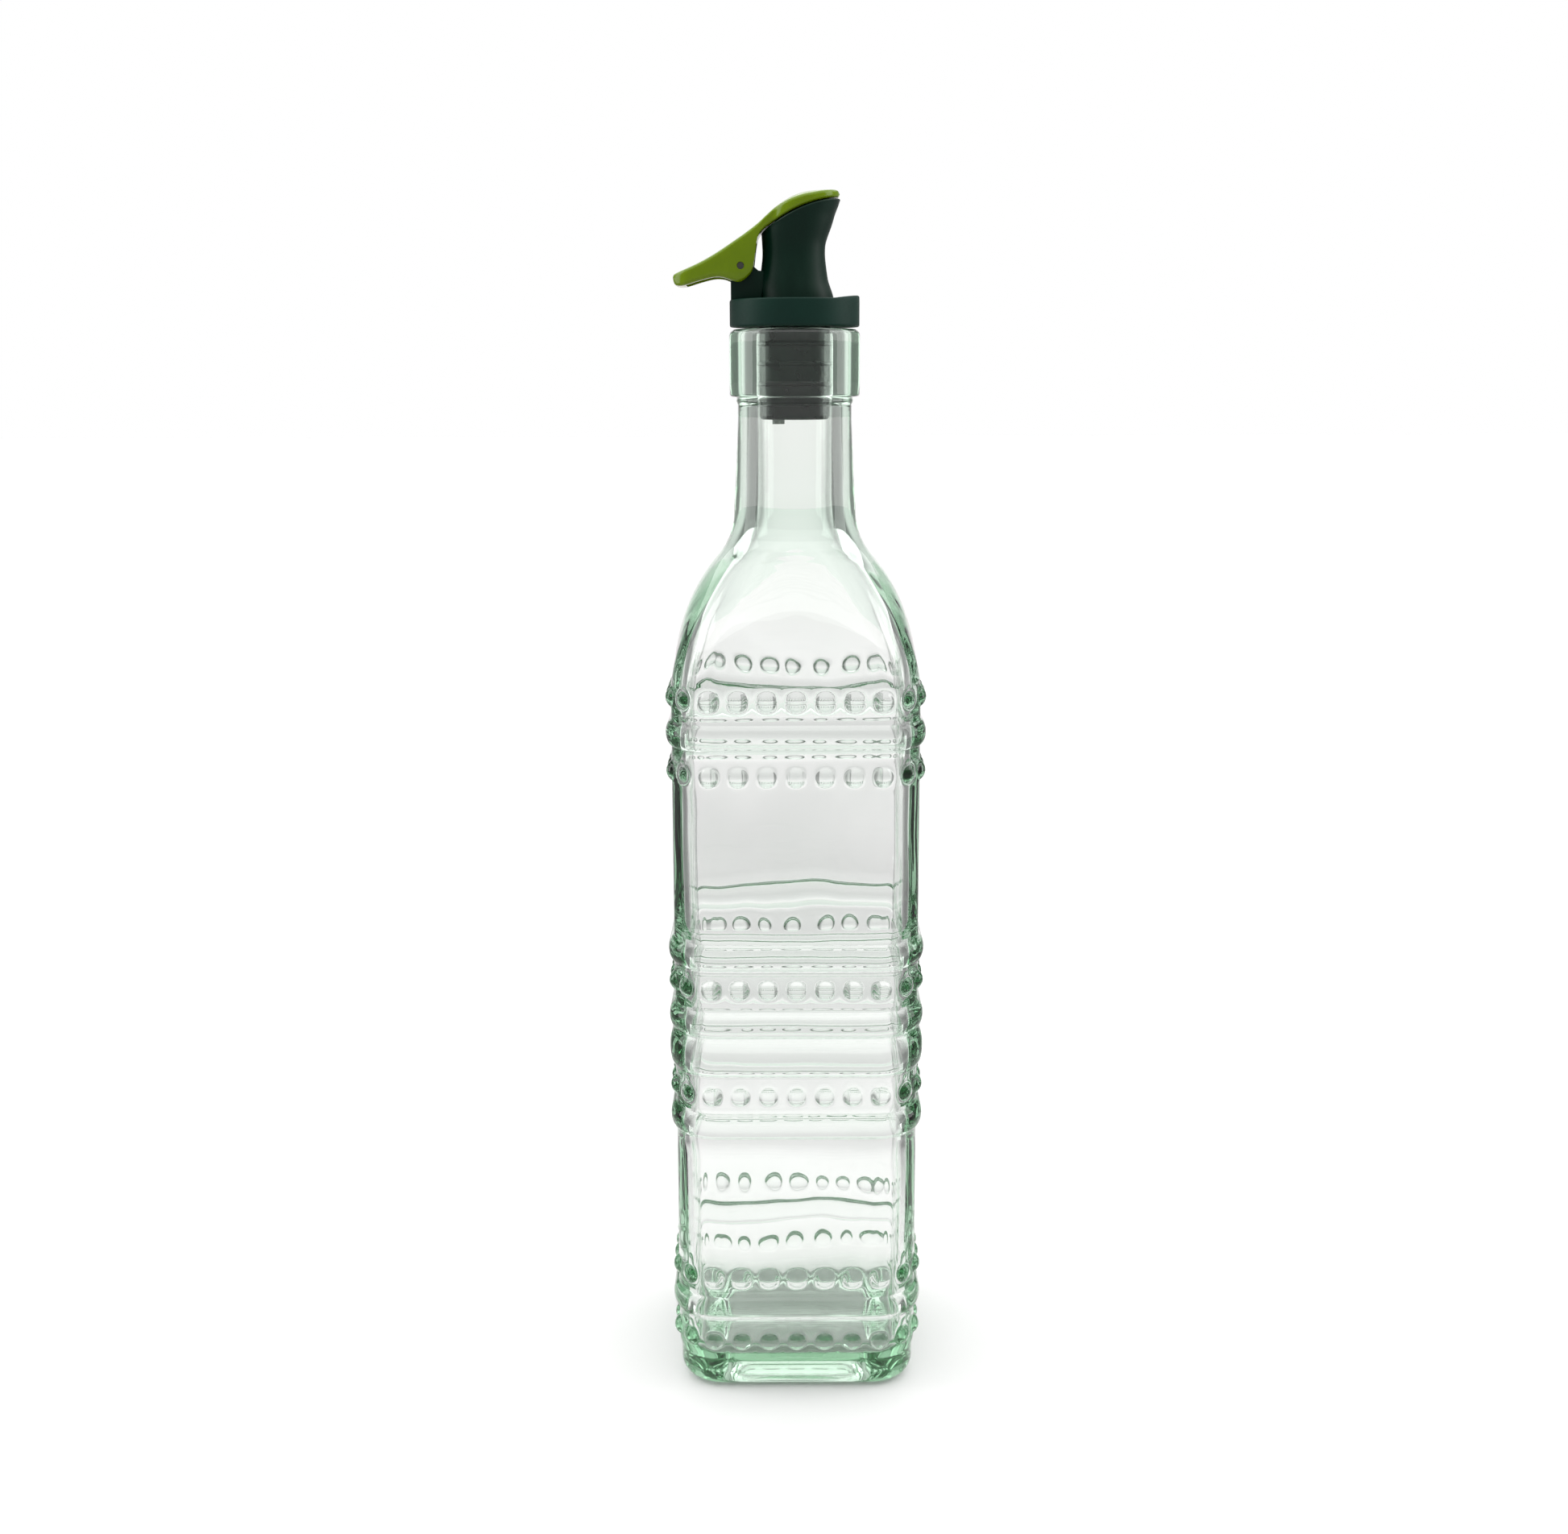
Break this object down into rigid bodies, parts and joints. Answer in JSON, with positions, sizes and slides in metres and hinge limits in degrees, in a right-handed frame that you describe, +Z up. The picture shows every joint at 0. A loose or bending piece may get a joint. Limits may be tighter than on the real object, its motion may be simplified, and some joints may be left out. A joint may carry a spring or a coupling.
{
  "type": "oil bottle with pouring stopper",
  "caption": "Tall square glass bottle for cooking oil with moulded beads and bands, and a flip-top pouring stopper worked by a thumb lever.",
  "frame": {"origin": "centre of the base, on the surface that the bottle stands on, in the middle of the part's outer box", "axes": "+Z up along the bottle's axis, +X the way the spout pours, -X the thumb lever"},
  "size_m": [0.0628, 0.0628, 0.2944],
  "materials": {
    "green_glass": "clear, grey-green tint, slightly wavy",
    "dark_plastic": "matte",
    "spout_plastic": "matte",
    "sleeve_rubber": "satin",
    "clear_plastic": "translucent white",
    "pin_steel": "satin",
    "olive_plastic": "glossy",
    "seal_rubber": "matte"
  },
  "bodies": {
    "bottle": {"glass_bottle": "green_glass"},
    "pourer": {"drip_collar": "dark_plastic", "spout_body": "spout_plastic", "stopper_sleeve": "sleeve_rubber", "air_tube": "clear_plastic", "hinge_pin": "pin_steel"},
    "lever": {"flip_lever": "olive_plastic", "lid_seal": "seal_rubber"}
  },
  "joints": [
    {"name": "pourer_lift", "type": "slide", "parent": "bottle", "child": "pourer", "axis": [0, 0, 1], "range_m": [0, 0.03]},
    {"name": "lever_hinge", "type": "hinge", "parent": "pourer", "child": "lever", "pos_m": [-0.0128, 0, 0.2769], "axis": [0, -1, 0], "range_deg": [0, 45]}
  ]
}
